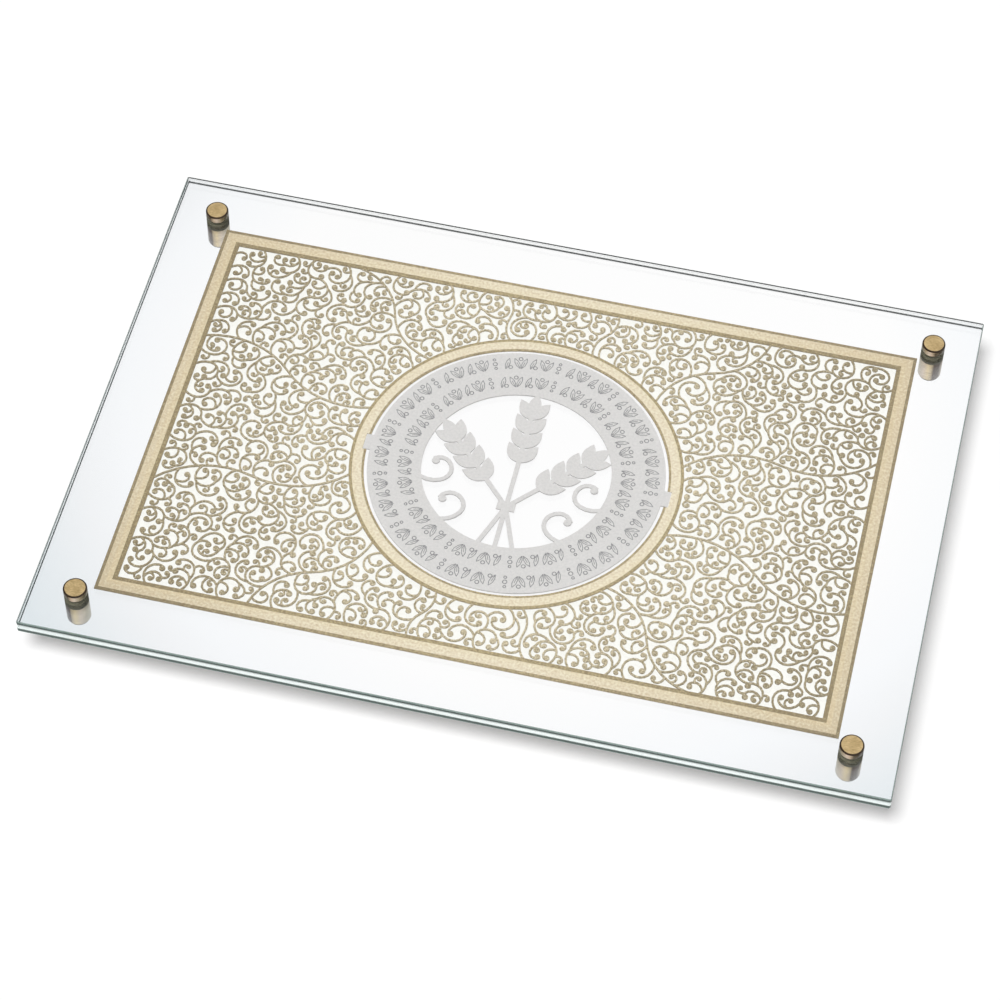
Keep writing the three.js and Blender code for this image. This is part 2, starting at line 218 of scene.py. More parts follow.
# %% [markdown]
# ## Finishes of the sheet metal
# The scrollwork is etched, so it is a little darker and rougher than the plain band beside it, which
# was masked and kept its champagne tone. Both are one sheet. A fine grain gives the etched metal its
# sparkle, and a slow cloud keeps the large band from looking printed. Noise seldom strays far from its
# middle, so a ramp with two near stops stretches it until the grain shows. The sheet is painted darker
# towards its corners, a painted shade.

# %% Sheet metals
grain_share = 0.92
grain_detail = 3.0
cloud_scale = 30.0
roughness_play = 0.2
# Painted shade: between these distances from the middle the sheet is painted darker towards its corners.
corner_shade_from, corner_shade_to = 95 * mm, 190 * mm
corner_shade_depth = 1.1
near_stops, band_stops, satin_stops = (0.36, 0.64), (0.2, 0.66), (0.2, 0.8)


def played(grain, middle, play=roughness_play):
    """A value that a grain moves to both sides of a middle."""
    return grain * play + (middle - play / 2)


def sheet_metal(name, dark, light, roughness, grain_scale, grain_depth, metallic, stops=near_stops):
    finish = Finish(name)
    place = finish.place()
    grain = finish.noise(place, grain_scale, grain_detail)
    cloud = finish.noise(place, cloud_scale)
    from_middle = finish.distance(place, (0, 0, 0))
    # Painted shade: the tone falls towards the corners of the sheet.
    corner_shading = finish.node("MapRange", values={0: from_middle, 1: corner_shade_from, 2: corner_shade_to})
    low, high = stops
    tone = grain * grain_share + cloud * (1 - grain_share) - corner_shading * (corner_shade_depth * (high - low) / 2)
    shader = finish.surface({
        "Base Color": finish.ramp(tone, [(low, dark), (high, light)]),
        "Metallic": metallic,
        "Roughness": played(grain, roughness),
        "Normal": finish.bump(grain, grain_depth * mm),
    })
    return finish.show(shader)


gold_sheet = [
    sheet_metal("gold_etched", (146, 130, 92), (246, 233, 202), 0.55, 2200.0, 0.05, 0.4),
    sheet_metal("gold_band", (220, 200, 161), (255, 246, 220), 0.45, 900.0, 0.01, 0.35, band_stops),
    sheet_metal("gold_line", (146, 128, 90), (206, 188, 144), 0.6, 1600.0, 0.05, 0.3),
]
silver_sheet = [
    sheet_metal("silver_satin", (218, 217, 215), (236, 234, 232), 0.5, 900.0, 0.01, 0.3, satin_stops),
    sheet_metal("silver_engraved", (128, 128, 130), (168, 168, 170), 0.6, 1500.0, 0.02, 0.3),
]

# %% [markdown]
# ## Where the pieces lie
# Every height comes from the frame. The sheet lies between the plates, and a finer sheet is a little
# thinner than the gap, so that no face of it lies in a face of the glass.

# %% Heights and places, in millimetres
sheet_low, sheet_high = [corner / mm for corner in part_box("scroll_panel")]
sheet_inset = 0.06
sheet_bottom = sheet_low.z + sheet_inset
band_top = sheet_high.z - sheet_inset
etch_depth = 0.05
etched_top = band_top - etch_depth
panel_x, panel_y = sheet_high.x, sheet_high.y
print("sheet from", round(sheet_bottom, 2), "to", round(band_top, 2), "mm")

# %% [markdown]
# ## Making a piece
# Shapes are built in millimetres, because the sizes of this tray are whole and half millimetres there.
# One function brings a finished shape to metres, gives it its finish, and ties it to the frame.

# %% From a shape to a piece
sharp_angle = math.radians(32)


def mesh_of(shape, name):
    mesh = bpy.data.meshes.new(name)
    shape.to_mesh(mesh)
    shape.free()
    return mesh


def give_finishes(mesh, finishes):
    """Gives a mesh its finishes in order, so that a face's number says which one it has."""
    if not mesh.materials:
        for finish in finishes:
            mesh.materials.append(finish)


def make_piece(name, mesh, finishes, node):
    mesh.transform(Matrix.Scale(mm, 4))
    give_finishes(mesh, finishes)
    mesh.shade_smooth()
    mesh.set_sharp_from_angle(angle=sharp_angle)
    piece = bpy.data.objects.new(name, mesh)
    bpy.context.collection.objects.link(piece)
    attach(piece, "root")
    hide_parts(node)
    print(name, "has", len(mesh.polygons), "faces")


# %% [markdown]
# ## Joining and cutting
# A laser-cut sheet is one piece of metal, so the hooks are joined into one closed mesh. The Boolean
# modifier joins a whole collection at once. The quick solver is safe here because every part is closed.

# %% Join or cut many solids at once
def combined(name, finishes, base, others, operation="UNION"):
    """The mesh that comes from joining others to base, or cutting them out of it."""
    for mesh in (base, *others):
        give_finishes(mesh, finishes)
    group = bpy.data.collections.new(name)
    bpy.context.scene.collection.children.link(group)
    base_object = bpy.data.objects.new(name, base)
    bpy.context.scene.collection.objects.link(base_object)
    for k, mesh in enumerate(others):
        group.objects.link(bpy.data.objects.new(f"{name}_{k}", mesh))
    modifier = base_object.modifiers.new("join", "BOOLEAN")
    modifier.operation = operation
    modifier.operand_type = "COLLECTION"
    modifier.collection = group
    modifier.solver = "MANIFOLD"
    result = bpy.data.meshes.new_from_object(
        base_object.evaluated_get(bpy.context.evaluated_depsgraph_get())
    )
    for scrap in [*group.objects, base_object]:
        mesh = scrap.data
        bpy.data.objects.remove(scrap)
        bpy.data.meshes.remove(mesh)
    bpy.data.collections.remove(group)
    return result


# %% [markdown]
# ## Growing the scrollwork
# The real sheet is laser cut: hundreds of hooks spring from each other, each ending in a round bud, and
# they never touch by accident. Drawing them one by one would take days, so they grow by a rule. A hook
# is three arcs of falling radius. It is tried at every place where one could spring, and it stays if it
# keeps a gap to all the metal round it. Large hooks come first, then smaller ones fill what is left.
# A point of the flat sheet is one complex number here, because a product then turns a whole shape.

# %% Sizes of the scrollwork, in millimetres
border_width = 8.05
window_x, window_y = panel_x - border_width, panel_y - border_width
ring_outer, ring_width = 72.55, 6.55
ring_inner = ring_outer - ring_width
stroke_width = 1.0
stroke_gap = 0.42
root_pitch = 8
root_depth = 0.8
root_lean = math.radians(40)
lead = 2.4
search_step = 0.8
stem_count = 12
stem_swing = math.radians(32)
arc_ratios = (1.6, 1, 0.78)


# %% Shapes of strokes
def walk(arcs):
    """Spots, headings and lengths run, in even steps along arcs from zero, heading along X at first."""
    spots, headings, runs = [0j], [0.0], [0.0]
    for radius, sweep, hand in arcs:
        start, heading, run = spots[-1], headings[-1], runs[-1]
        steps = math.ceil(radius * sweep / search_step)
        for k in range(1, steps + 1):
            part = sweep * k / steps
            chord = cmath.exp(1j * (heading + hand * part)) - cmath.exp(1j * heading)
            spots.append(start + hand * radius / 1j * chord)
            headings.append(heading + hand * part)
            runs.append(run + radius * part)
    return np.array(spots), np.array(headings), np.array(runs)


class Shape:
    """Arcs that follow each other, each tangent to the last, with a bud on the inner side of the end."""

    def __init__(self, arcs, bud_radius=0.0):
        self.arcs = arcs
        self.spots, self.headings, self.runs = walk(arcs)
        self.reaches = np.full(len(self.spots), stroke_width / 2)
        self.bud_radius = bud_radius
        if bud_radius:
            inward = 1j * arcs[-1][2] * cmath.exp(1j * self.headings[-1])
            self.bud = self.spots[-1] + (bud_radius - stroke_width / 2) * inward
            self.spots = np.append(self.spots, self.bud)
            self.reaches = np.append(self.reaches, bud_radius)
            self.headings = np.append(self.headings, self.headings[-1])
            self.runs = np.append(self.runs, self.runs[-1])


def hook(radius, sweeps, hand, bud_radius):
    return Shape([(radius * ratio, sweep, hand) for ratio, sweep in zip(arc_ratios, sweeps)], bud_radius)


class Stroke:
    """A shape that springs from a root: a place on the sheet and a heading."""

    def __init__(self, shape, place, heading, from_border=False):
        self.shape = shape
        self.place = place
        self.heading = heading
        self.from_border = from_border
        self.spots = place + cmath.exp(1j * heading) * shape.spots
        self.headings = heading + shape.headings


# %% A map of the metal
map_cell = 0.3
map_reach = 2.6
border_owner = -1


class MetalMap:
    """How far each cell of the window is from the nearest metal, and from the nearest other metal."""

    def __init__(self):
        self.x = np.arange(-window_x, window_x + map_cell, map_cell)
        self.y = np.arange(-window_y, window_y + map_cell, map_cell)
        cells = self.x + 1j * self.y[:, None]
        to_border = np.minimum(window_x - abs(cells.real), window_y - abs(cells.imag))
        self.nearest = np.minimum(to_border, abs(cells) - ring_outer)
        self.other = np.full(cells.shape, np.inf)
        self.owner = np.full(cells.shape, border_owner)

    def add(self, stroke, owner):
        low, high = stroke.spots.real.min() - map_reach, stroke.spots.real.max() + map_reach
        columns = slice(*np.searchsorted(self.x, (low, high)))
        low, high = stroke.spots.imag.min() - map_reach, stroke.spots.imag.max() + map_reach
        rows = slice(*np.searchsorted(self.y, (low, high)))
        cells = self.x[columns] + 1j * self.y[rows, None]
        away = np.min(abs(cells[..., None] - stroke.spots) - stroke.shape.reaches, axis=-1)
        nearest = self.nearest[rows, columns]
        nearer = away < nearest
        self.other[rows, columns] = np.where(nearer, nearest, np.minimum(self.other[rows, columns], away))
        self.owner[rows, columns][nearer] = owner
        self.nearest[rows, columns] = np.minimum(nearest, away)

    def fits(self, shape, places, headings, parent):
        """Whether a shape keeps its gap at each of many roots. Within the lead its parent may be near."""
        spots = places[:, None] + np.exp(1j * headings)[:, None] * shape.spots
        column = np.rint((spots.real + window_x) / map_cell).astype(int).clip(0, len(self.x) - 1)
        row = np.rint((spots.imag + window_y) / map_cell).astype(int).clip(0, len(self.y) - 1)
        room = self.nearest[row, column]
        beside_parent = (shape.runs <= lead) & (self.owner[row, column] == parent)
        room = np.where(beside_parent, self.other[row, column], room)
        return np.all(room >= shape.reaches + stroke_gap, axis=1)


# %% Stems, and the places on the border and the ring where hooks spring
def stem(angle):
    """An even S of two arcs that ties the ring to the border."""
    start = ring_outer - root_depth
    to_window = min(window_x / abs(math.cos(angle)), window_y / abs(math.sin(angle)))
    radius = (to_window + root_depth - start) / (4 * math.sin(stem_swing))
    arcs = [(radius, 2 * stem_swing, -1), (radius, 2 * stem_swing, 1)]
    return Stroke(Shape(arcs), cmath.rect(start, angle), angle + stem_swing)


def border_roots():
    """Places on the border and the ring, each with the heading that points into the window."""
    roots = []
    for half, other_half, inward in ((window_x, window_y, -math.pi / 2), (window_y, window_x, math.pi)):
        count = round(2 * half / root_pitch)
        for k in range(count):
            along = ((k + 0.5) / count * 2 - 1) * half
            on_edge = complex(along, other_half) if half == window_x else complex(other_half, along)
            roots += [(on_edge, inward), (-on_edge, inward + math.pi)]
    ring_count = round(math.tau * ring_outer / root_pitch)
    for k in range(ring_count):
        angle = math.tau * (k + 0.5) / ring_count
        roots.append((cmath.rect(ring_outer, angle), angle))
    return np.array([place for place, _ in roots]), np.array([heading for _, heading in roots])


# %% Grow the hooks
# Each level is a radius, the radius of its buds, and the leans at which a branch may leave its parent.
long_hook, short_hook = [[math.radians(a) for a in angles] for angles in ((48, 112, 82), (40, 90, 40))]
narrow_leans, wide_leans = [[math.radians(a) for a in angles] for angles in ((36,), (36, 58))]
levels = [
    (5.0, 1.40, narrow_leans),
    (4.2, 1.35, narrow_leans),
    (3.5, 1.35, wide_leans),
    (3.0, 1.30, wide_leans),
    (2.5, 1.25, wide_leans),
    (2.1, 1.20, wide_leans),
    (1.75, 1.15, wide_leans),
    (1.45, 1.10, wide_leans),
]
chance = np.random.default_rng(12)


def spring(metal, strokes, choices, parent):
    """Places hooks by chance among those that fit, until none of the choices fits any more."""
    while True:
        fitting = []
        for shape, places, headings in choices:
            fits = metal.fits(shape, places, headings, parent)
            if fits.any():
                fitting.append((shape, places[fits], headings[fits]))
        if not fitting:
            return
        shape, places, headings = fitting[chance.integers(len(fitting))]
        k = chance.integers(len(places))
        stroke = Stroke(shape, places[k], headings[k], from_border=parent == border_owner)
        metal.add(stroke, len(strokes))
        strokes.append(stroke)
        choices = fitting


def grow():
    metal = MetalMap()
    strokes = [stem(math.tau * (k + 0.5) / stem_count) for k in range(stem_count)]
    for k, stroke in enumerate(strokes):
        metal.add(stroke, k)
    edge_places, edge_headings = border_roots()
    for radius, bud_radius, leans in levels:
        hooks = {
            hand: [hook(radius, sweeps, hand, bud_radius) for sweeps in (long_hook, short_hook)]
            for hand in (1, -1)
        }
        choices = [
            (shape, edge_places, edge_headings - hand * root_lean)
            for hand in hooks for shape in hooks[hand]
        ]
        spring(metal, strokes, choices, border_owner)
        parent = 0
        while parent < len(strokes):
            places = strokes[parent].spots[2:-2]
            headings = strokes[parent].headings[2:-2]
            choices = [
                (shape, places, headings + side * lean)
                for side in (1, -1) for lean in leans for shape in hooks[side] + hooks[-side]
            ]
            spring(metal, strokes, choices, parent)
            parent += 1
        print("hooks of radius", radius, "mm: now", len(strokes), "strokes")
    return strokes


strokes = grow()

# %% [markdown]
# ## From strokes to metal
# Each arc of a stroke is one spin: a small section turns about the arc's centre, and the next arc goes
# on from where it ended. The section is a little narrower at the top, as etched metal is, which gives
# every stroke two edges that catch the light. The flats stay within a set sag of the true arc.

# %% Sweep a section along a stroke
taper = 0.1
largest_sag = 0.12
sag_limit = 0.5
bud_sides = 12


def spin_steps(radius, sweep):
    turn = 2 * math.acos(1 - min(sag_limit, largest_sag / radius))
    return max(1, math.ceil(sweep / turn))


def ahead_of(heading):
    return Vector((math.cos(heading), math.sin(heading), 0))


def left_of(heading):
    return Vector((-math.sin(heading), math.cos(heading), 0))


def swept(root, arcs, width, low, high, sunk=0):
    """A ribbon of metal along a row of arcs, which may begin a little behind its root."""
    x, y, heading = root
    here = Vector((x, y, 0))
    start = here - sunk * ahead_of(heading)
    shape = bmesh.new()
    half = width / 2
    corners = [(-half, low), (half, low), (half - taper, high), (taper - half, high)]
    section = [
        shape.verts.new(start + across * left_of(heading) + Vector((0, 0, height)))
        for across, height in corners
    ]
    section += [shape.edges.new((section[i - 1], section[i])) for i in range(4)]
    if sunk:
        grown = bmesh.ops.extrude_edge_only(shape, edges=section[4:])["geom"]
        moved = [part for part in grown if isinstance(part, bmesh.types.BMVert)]
        bmesh.ops.translate(shape, verts=moved, vec=here - start)
        section = moved + [edge for edge in shape.edges if all(v in moved for v in edge.verts)]
    for radius, sweep, hand in arcs:
        centre = here + hand * radius * left_of(heading)
        spun = bmesh.ops.spin(
            shape, geom=section, cent=centre, axis=(0, 0, 1), angle=hand * sweep,
            steps=spin_steps(radius, sweep), use_merge=False, use_duplicate=False,
        )
        section = spun["geom_last"]
        here = centre + Matrix.Rotation(hand * sweep, 3, "Z") @ (here - centre)
        heading += hand * sweep
    bmesh.ops.holes_fill(shape, edges=[edge for edge in shape.edges if edge.is_boundary])
    bmesh.ops.recalc_face_normals(shape, faces=shape.faces)
    return mesh_of(shape, "stroke")


def disc(x, y, radius, low, high):
    shape = bmesh.new()
    bmesh.ops.create_cone(
        shape, cap_ends=True, segments=bud_sides,
        radius1=radius, radius2=radius - taper, depth=high - low,
    )
    bmesh.ops.translate(shape, verts=shape.verts, vec=(x, y, (low + high) / 2))
    return mesh_of(shape, "bud")


# %% All the scrollwork
def stroke_solids(stroke):
    """The ribbon of a stroke and its bud, each a closed solid."""
    root = (stroke.place.real, stroke.place.imag, stroke.heading)
    sunk = root_depth if stroke.from_border else 0
    solids = [swept(root, stroke.shape.arcs, stroke_width, sheet_bottom, etched_top, sunk)]
    if stroke.shape.bud_radius:
        bud = stroke.spots[-1]
        solids.append(disc(bud.real, bud.imag, stroke.shape.bud_radius, sheet_bottom, etched_top))
    return solids


scroll_solids = [solid for stroke in strokes for solid in stroke_solids(stroke)]
print("scrollwork:", len(scroll_solids), "solids")

# %% [markdown]
# ## Border and ring
# The border and the ring have the same make-up: a light band between two etched lines. The band stands
# a hair above the lines, because the etch ate them away. A rectangle is inset five times for the
# border: for a line, a step, the band, a step and a line. One section is spun round for the ring.

# %% Border
outer_line = 1.4
inner_line = 1.9
band_step = 0.08


def border_mesh():
    shape = bmesh.new()
    bmesh.ops.create_grid(shape, x_segments=1, y_segments=1, size=1)
    bmesh.ops.scale(shape, verts=shape.verts, vec=(panel_x, panel_y, 1))
    bmesh.ops.translate(shape, verts=shape.verts, vec=(0, 0, etched_top))
    middle = shape.faces[:]
    insets = [
        (outer_line, 0, 2),
        (band_step, etch_depth, 1),
        (border_width - outer_line - inner_line - 2 * band_step, 0, 1),
        (band_step, -etch_depth, 1),
        (inner_line, 0, 2),
    ]
    for thickness, depth, finish_index in insets:
        inset = bmesh.ops.inset_region(
            shape, faces=middle, thickness=thickness, depth=depth, use_boundary=True, use_even_offset=True,
        )
        for face in inset["faces"]:
            face.material_index = finish_index
    bmesh.ops.delete(shape, geom=middle, context="FACES")
    lower = bmesh.ops.extrude_face_region(shape, geom=shape.faces[:], use_keep_orig=True)["geom"]
    for vert in lower:
        if isinstance(vert, bmesh.types.BMVert):
            vert.co.z = sheet_bottom
    bmesh.ops.recalc_face_normals(shape, faces=shape.faces)
    return mesh_of(shape, "border")


# %% Spin a section all the way round
weld = 1e-4
corner_segments = 3


def turned(section, sides, closed=True, corners=(), corner_radius=0.0):
    """A round solid from a section of (radius, height) points, with the numbered corners rounded."""
    shape = bmesh.new()
    verts = [shape.verts.new((radius, 0, height)) for radius, height in section]
    for pair in zip(verts, verts[1:]):
        shape.edges.new(pair)
    if closed:
        shape.edges.new((verts[-1], verts[0]))
    if corners:
        bmesh.ops.bevel(
            shape, geom=[verts[k] for k in corners], offset=corner_radius, offset_type="OFFSET",
            segments=corner_segments, profile=0.5, affect="VERTICES", material=-1,
        )
    bmesh.ops.spin(
        shape, geom=shape.verts[:] + shape.edges[:], cent=(0, 0, 0), axis=(0, 0, 1), angle=math.tau,
        steps=sides, use_merge=True, use_duplicate=False,
    )
    bmesh.ops.remove_doubles(shape, verts=shape.verts, dist=weld)
    bmesh.ops.recalc_face_normals(shape, faces=shape.faces)
    return shape


# %% Ring
ring_outer_line, ring_inner_line = 1.35, 1.0
ring_sides = 120


def ring_mesh():
    band_outer = ring_outer - ring_outer_line
    band_inner = ring_inner + ring_inner_line
    shape = turned([
        (ring_inner, sheet_bottom),
        (ring_outer, sheet_bottom),
        (ring_outer, etched_top),
        (band_outer, etched_top),
        (band_outer - band_step, band_top),
        (band_inner + band_step, band_top),
        (band_inner, etched_top),
        (ring_inner, etched_top),
    ], ring_sides)
    for face in shape.faces:
        on_band = face.calc_center_median().z > etched_top + etch_depth / 4
        face.material_index = 1 if on_band else 2
    return mesh_of(shape, "ring")


def block(x, y, half_x, half_y, low, high):
    shape = bmesh.new()
    bmesh.ops.create_cube(shape, size=1)
    bmesh.ops.scale(shape, verts=shape.verts, vec=(2 * half_x, 2 * half_y, high - low))
    bmesh.ops.translate(shape, verts=shape.verts, vec=(x, y, (low + high) / 2))
    return mesh_of(shape, "block")


# %% [markdown]
# ## The whole panel
# The scrollwork, the border and the ring are joined to one sheet. The ring has two notches, into which
# the medallion's tabs reach, so that the medallion can't turn.

# %% Panel
tab_half_width = 4
tab_clearance = 0.25
cut_spare = 1
tab_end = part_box("medallion")[1].x / mm
notch_end = tab_end + tab_clearance

notch = block(
    0, 0, notch_end, tab_half_width + tab_clearance, sheet_bottom - cut_spare, band_top + cut_spare,
)
notched_ring = combined("notched_ring", gold_sheet, ring_mesh(), [notch], "DIFFERENCE")
panel_mesh = combined("panel", gold_sheet, border_mesh(), [notched_ring, *scroll_solids])
make_piece("scrollwork_panel", panel_mesh, gold_sheet, "scroll_panel")

# %% [markdown]
# ## Medallion
# The medallion is a broad silver ring with a sheaf of wheat cut out of its middle. A grain begins as a
# round disc, already a closed solid, whose points are moved on to two curves that meet in a tip. Straws
# and tendrils are swept like the scrollwork.

# %% Sizes of the medallion, in millimetres
medallion_radius = 64.65
hole_radius = 41.25
medallion_sides = 144
edge_break = 0.06
grain_length, grain_width = 12, 5.8
grain_bulge = 0.45
grain_spacing = 8
grain_lean = math.radians(33)
grain_pairs = 4
grain_sides = 24
straw_width = 2
ear_fan = math.radians(43)
tie_height = -20
straw_fan = math.radians(20)
tendril_radius = 6.4
tendril_bud = 1.8
tendril_angles = [math.radians(a) for a in (38, 72)]
ring_overlap = 1


# %% Parts of the sheaf
def grain(x, y, heading):
    """A pointed grain that lies along a heading from its foot."""
    shape = bmesh.new()
    bmesh.ops.create_cone(
        shape, cap_ends=True, segments=grain_sides, radius1=1, radius2=1, depth=band_top - sheet_bottom,
    )
    for vert in shape.verts:
        share = 1 - abs(math.atan2(vert.co.y, vert.co.x)) / math.pi
        swell = 2 * share * (1 - share)
        vert.co.x = grain_length * (grain_bulge * swell + share ** 2)
        vert.co.y = math.copysign(grain_width * swell, vert.co.y)
    bmesh.ops.remove_doubles(shape, verts=shape.verts, dist=weld)
    bmesh.ops.rotate(shape, verts=shape.verts, matrix=Matrix.Rotation(heading, 3, "Z"))
    bmesh.ops.translate(shape, verts=shape.verts, vec=(x, y, (band_top + sheet_bottom) / 2))
    bmesh.ops.recalc_face_normals(shape, faces=shape.faces)
    return mesh_of(shape, "grain")


def bar(start, heading, length, width, low, high):
    """A straight ribbon from a start along a heading."""
    shape = bmesh.new()
    bmesh.ops.create_cube(shape, size=1)
    bmesh.ops.scale(shape, verts=shape.verts, vec=(length, width, high - low))
    bmesh.ops.translate(shape, verts=shape.verts, vec=(length / 2, 0, (low + high) / 2))
    bmesh.ops.rotate(shape, verts=shape.verts, matrix=Matrix.Rotation(heading, 3, "Z"))
    bmesh.ops.translate(shape, verts=shape.verts, vec=(*start, 0))
    return mesh_of(shape, "bar")


def tie_to_ring(heading):
    """The way from the tie to the edge of the opening, and a little into the ring."""
    along = tie_height * math.sin(heading)
    across = tie_height * math.cos(heading)
    return math.sqrt(hole_radius ** 2 - across ** 2) - along + ring_overlap


def ear(heading):
    length = tie_to_ring(heading) - grain_length
    places = [(length, 0)]
    for i in range(1, grain_pairs + 1):
        along = length + grain_length / 2 - i * grain_spacing
        places += [(along, grain_lean), (along, -grain_lean)]
    solids = [bar((0, tie_height), heading, length, straw_width, sheet_bottom, band_top)]
    for along, lean in places:
        foot = Vector((0, tie_height, 0)) + along * ahead_of(heading)
        solids.append(grain(foot.x, foot.y, heading + lean))
    return solids


def tendril(side, angle):
    a = side * angle - math.pi / 2
    curl = Stroke(
        hook(tendril_radius, long_hook, -side, tendril_bud),
        cmath.rect(hole_radius, a), a + math.pi + side * root_lean,
    )
    root, bud = (curl.place.real, curl.place.imag, curl.heading), curl.spots[-1]
    return [
        swept(root, curl.shape.arcs, straw_width, sheet_bottom, band_top, root_depth),
        disc(bud.real, bud.imag, tendril_bud, sheet_bottom, band_top),
    ]


# %% [markdown]
# ## Engraving on the medallion
# The real medallion has two rows of outlined engraving. Here they are rows of small leaves and berries:
# every leaf is two shallow arcs, and every berry a small ring. They are cut into the metal a little
# deep, and the cut faces have a darker finish.

# %% Motifs of the engraving
line_width = 0.42
groove_depth = 0.16
groove_spare = 0.2
groove_low = band_top - groove_depth
groove_high = band_top + groove_spare
leaf_swell = math.radians(34)
leaf_length = 6.2
rib_share, rib_thinness = 0.62, 0.7
berry_radius = 0.85
berry_sides = 12
leaf_foot_x = 0.25
blade_foot_x, blade_berry_x = -1.2, 1.0


def groove(root, arcs):
    return swept(root, arcs, line_width, groove_low, groove_high)


def leaf(x, y, heading, length):
    radius = length / (2 * math.sin(leaf_swell))
    lines = []
    for side in (1, -1):
        lines.append(groove((x, y, heading + side * leaf_swell), [(radius, 2 * leaf_swell, -side)]))
    rib_length, rib_width = length * rib_share, line_width * rib_thinness
    lines.append(bar((x, y), heading, rib_length, rib_width, groove_low, groove_high))
    return lines


def berry(x, y, radius):
    half = line_width / 2
    shape = turned([
        (radius - half, groove_low), (radius + half, groove_low),
        (radius + half, groove_high), (radius - half, groove_high),
    ], berry_sides)
    bmesh.ops.translate(shape, verts=shape.verts, vec=(x, y, 0))
    return [mesh_of(shape, "berry")]


def sprout(lean):
    """Two leaves that lean apart from one foot, with a berry between their tips."""
    foot = -leaf_length / 2
    up = math.pi / 2
    leaves = leaf(leaf_foot_x, foot, up - lean, leaf_length)
    leaves += leaf(-leaf_foot_x, foot, up + lean, leaf_length)
    return leaves + berry(0, leaf_length / 2 - berry_radius, berry_radius)


def blade(lean):
    """One leaf that leans to a side, with a berry at its foot."""
    foot = -leaf_length / 2
    leaves = leaf(blade_foot_x, foot, math.pi / 2 - lean, leaf_length)
    return leaves + berry(blade_berry_x, foot + berry_radius, berry_radius)


def berries():
    """A large berry between two small ones."""
    motif = berry(0, 0, middle_berry * berry_radius)
    for y in (small_berry_y, -small_berry_y):
        motif += berry(0, y, small_berry * berry_radius)
    return motif


# %% Two rows of motifs
sprout_lean = math.radians(24)
blade_lean = math.radians(20)
row_radii = (59, 48.6)
motif_pitch = 5.6
group_size = 5
middle_berry, small_berry = 1.1, 0.7
small_berry_y = 2.4


def engraved_row(radius):
    count = group_size * round(math.tau * radius / motif_pitch / group_size)
    grooves = []
    for k in range(count):
        place = k % group_size
        if place == group_size - 1:
            motif = berries()
        elif place % 2:
            motif = blade(blade_lean)
        else:
            motif = sprout(sprout_lean)
        turn = Matrix.Rotation(math.tau * k / count, 4, "Z") @ Matrix.Translation((0, radius, 0))
        for mesh in motif:
            mesh.transform(turn)
            for face in mesh.polygons:
                face.material_index = 1
        grooves += motif
    return grooves


# %% Cut the medallion
def medallion_ring():
    return mesh_of(turned([
        (hole_radius, sheet_bottom),
        (medallion_radius, sheet_bottom),
        (medallion_radius, band_top - edge_break),
        (medallion_radius - edge_break, band_top),
        (hole_radius + edge_break, band_top),
        (hole_radius, band_top - edge_break),
    ], medallion_sides), "medallion_ring")


tab_root = (hole_radius + medallion_radius) / 2
tab_middle, tab_half_length = (tab_end + tab_root) / 2, (tab_end - tab_root) / 2
medallion_parts = [
    block(side * tab_middle, 0, tab_half_length, tab_half_width, sheet_bottom, band_top)
    for side in (-1, 1)
]
for heading in (math.pi / 2 - ear_fan, math.pi / 2, math.pi / 2 + ear_fan):
    medallion_parts += ear(heading)
for heading in (-math.pi / 2 - straw_fan, -math.pi / 2, -math.pi / 2 + straw_fan):
    medallion_parts.append(
        bar((0, tie_height), heading, tie_to_ring(heading), straw_width, sheet_bottom, band_top)
    )
for side in (-1, 1):
    for angle in tendril_angles:
        medallion_parts += tendril(side, angle)
medallion_parts.append(block(0, tie_height, 2 * straw_width, straw_width, sheet_bottom, band_top))
grooves = [groove for radius in row_radii for groove in engraved_row(radius)]
plain_medallion = combined("plain_medallion", silver_sheet, medallion_ring(), medallion_parts)
cut_medallion = combined("cut_medallion", silver_sheet, plain_medallion, grooves, "DIFFERENCE")
make_piece("silver_medallion", cut_medallion, silver_sheet, "medallion")

# %% [markdown]
# ## Studs
# Each stud is a turned cap over a turned leg, with dark washers between metal and glass. The profile's
# corners are bevelled before it is spun, so the finished edge is round and catches a thin line of light.
# The cap's rim is painted dark instead, a painted dark reflection. A lathe leaves fine grooves round the
# axis. They stretch a highlight along the stud, and the anisotropic socket does that. The bands along the
# cap's side and the leg are painted highlights and painted shade: each stud is painted bright towards the
# middle of the tray and dark on its outer side, so one ramp over the way that a face looks gives all four
# their bands.

# %% Metals and rubbers of the studs
streak_share = 0.55
streak_stretch = 0.14
streak_detail = 4.0
streak_play = 0.16
streak_depth = 0.02
patina_scale = 220.0
rubber_scale = 1800.0
rubber_depth = 0.04


def stud_metal(name, dark, light, roughness, streak_scale, metallic, anisotropy, painted_light_bands=None):
    """Turned metal: fine streaks round the stud's axis, a slow cloud of patina, and painted bands of
    highlight and shade along it.
    """
    finish = Finish(name)
    place = finish.place()
    stretched = finish.node("VectorMath", {"operation": "MULTIPLY"}, {0: place, 1: streak_scale})
    streak = finish.noise(stretched, 1.0, streak_detail)
    cloud = finish.noise(place, patina_scale, grain_detail)
    tone = streak * streak_share + cloud * (1 - streak_share)
    metal = finish.ramp(tone, [(0.5 - streak_stretch, dark), (0.5 + streak_stretch, light)])
    if painted_light_bands:
        # Painted highlight and painted shade: a ramp over how far a face looks out from the tray's middle.
        side = finish.node("Math", {"operation": "SIGN"}, {0: finish.axes(place)[0]})
        outward = side * finish.normal()[0] * 0.5 + 0.5
        metal = finish.blend(1.0, finish.ramp(outward, painted_light_bands), metal, "MULTIPLY")
    shader = finish.surface({
        "Base Color": metal,
        "Metallic": metallic,
        "Anisotropic": anisotropy,
        "Roughness": played(streak, roughness, streak_play),
        "Normal": finish.bump(streak, streak_depth * mm),
    })
    return finish.show(shader)


